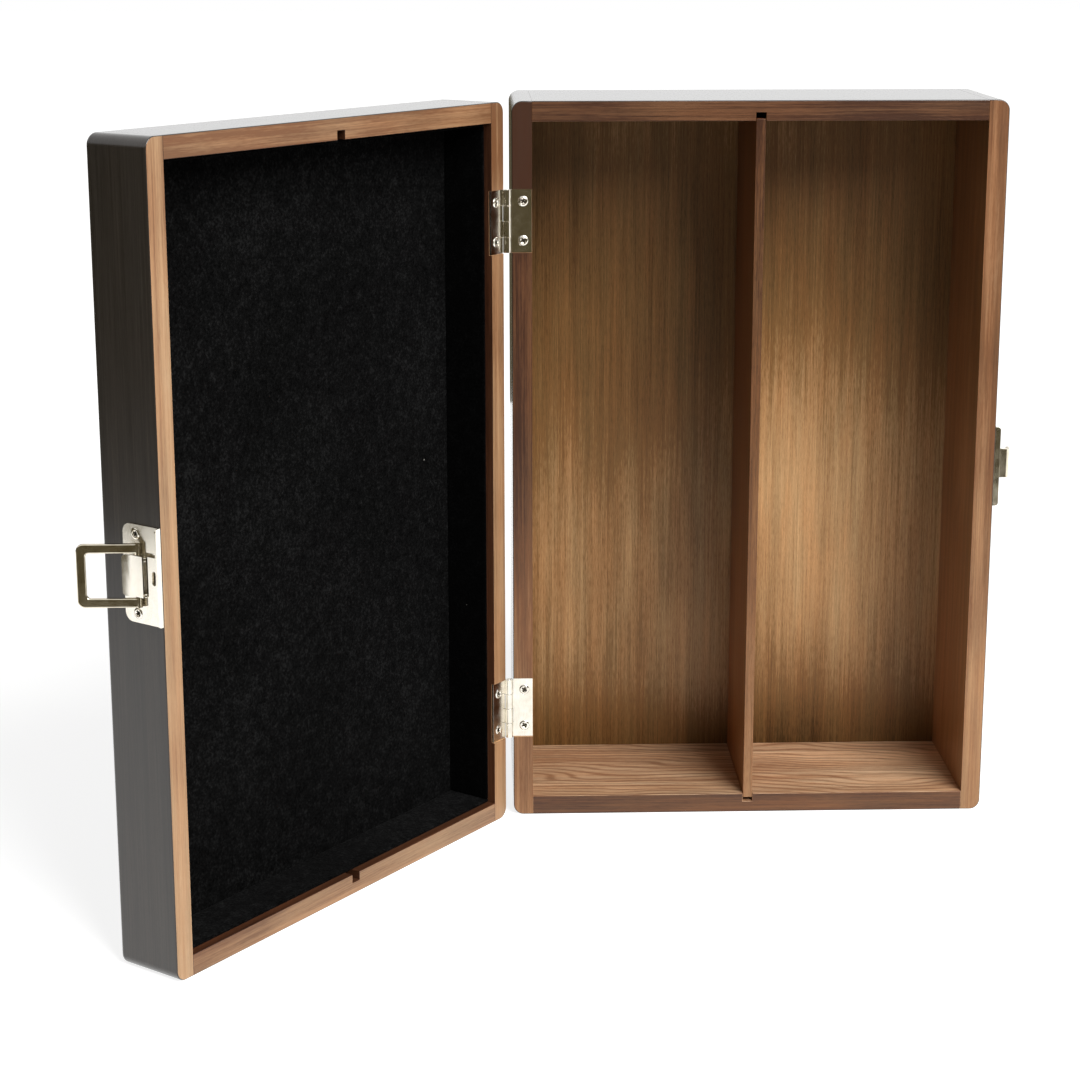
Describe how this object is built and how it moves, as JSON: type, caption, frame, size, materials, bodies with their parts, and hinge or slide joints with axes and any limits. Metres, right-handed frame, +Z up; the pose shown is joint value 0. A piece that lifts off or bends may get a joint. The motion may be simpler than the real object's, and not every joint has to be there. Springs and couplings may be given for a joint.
{
  "type": "wooden wine gift box",
  "caption": "Stained wooden wine gift box that stands on end: a deep half with a divider and a felt-lined lid, joined by butt hinges and closed by a toggle latch.",
  "frame": {"origin": "middle of the deep half's lower end, on the face that it stands on", "axes": "+Z up along the bottles, the deep half opens towards -Y, its hinges are on the -X side and its catch on the +X side; the lid is stored swung open by 127 degrees from closed"},
  "size_m": [0.4196, 0.2681, 0.35],
  "materials": {
    "stained_wood": "satin dark stain outside, bare at the rims",
    "panel_veneer": "thin clear coat over straight-grained veneer",
    "divider_wood": "matt bare wood",
    "black_felt": "short pile felt",
    "hinge_nickel": "polished nickel plate",
    "latch_nickel": "polished nickel plate",
    "screw_nickel": "nickel plated steel"
  },
  "bodies": {
    "base": {"base_back_panel": "panel_veneer", "base_bottom_wall": "stained_wood", "base_side_left": "stained_wood", "base_side_right": "stained_wood", "base_top_wall": "stained_wood", "catch_plate": "latch_nickel", "catch_screws": "screw_nickel", "divider": "divider_wood", "lower_hinge_base_leaf": "hinge_nickel", "lower_hinge_base_screws": "screw_nickel", "lower_hinge_pin": "hinge_nickel", "upper_hinge_base_leaf": "hinge_nickel", "upper_hinge_base_screws": "screw_nickel", "upper_hinge_pin": "hinge_nickel"},
    "lid": {"latch_lever_pin": "latch_nickel", "latch_plate": "latch_nickel", "latch_screws": "screw_nickel", "lid_bottom_wall": "stained_wood", "lid_lining_bottom": "black_felt", "lid_lining_hinge_side": "black_felt", "lid_lining_latch_side": "black_felt", "lid_lining_panel": "black_felt", "lid_lining_top": "black_felt", "lid_panel": "stained_wood", "lid_side_hinge": "stained_wood", "lid_side_latch": "stained_wood", "lid_top_wall": "stained_wood", "lower_hinge_lid_leaf": "hinge_nickel", "lower_hinge_lid_screws": "screw_nickel", "upper_hinge_lid_leaf": "hinge_nickel", "upper_hinge_lid_screws": "screw_nickel"},
    "lever": {"latch_lever": "latch_nickel"},
    "bail_pin": {"latch_bail_pin": "latch_nickel"},
    "bail": {"latch_bail": "latch_nickel"}
  },
  "joints": [
    {"name": "lid_hinge", "type": "hinge", "parent": "base", "child": "lid", "pos_m": [-0.11815, -0.0398, 0.175], "axis": [0, 0, 1], "range_deg": [-53, 127]},
    {"name": "latch_lever_hinge", "type": "hinge", "parent": "lid", "child": "lever", "pos_m": [-0.26633, -0.22383, 0.175], "axis": [0, 0, 1], "range_deg": [0, 105]},
    {"name": "bail_pin_turn", "type": "hinge", "parent": "lever", "child": "bail_pin", "pos_m": [-0.26931, -0.22196, 0.175], "axis": [0, 0, 1], "range_deg": [-105, 0]},
    {"name": "bail_hinge", "type": "hinge", "parent": "bail_pin", "child": "bail", "pos_m": [-0.26931, -0.22196, 0.175], "axis": [0, 0, 1], "range_deg": [-35, 134]}
  ],
  "couplings": [
    {"joint": "bail_pin_turn", "follows": "latch_lever_hinge", "ratio": -1}
  ]
}
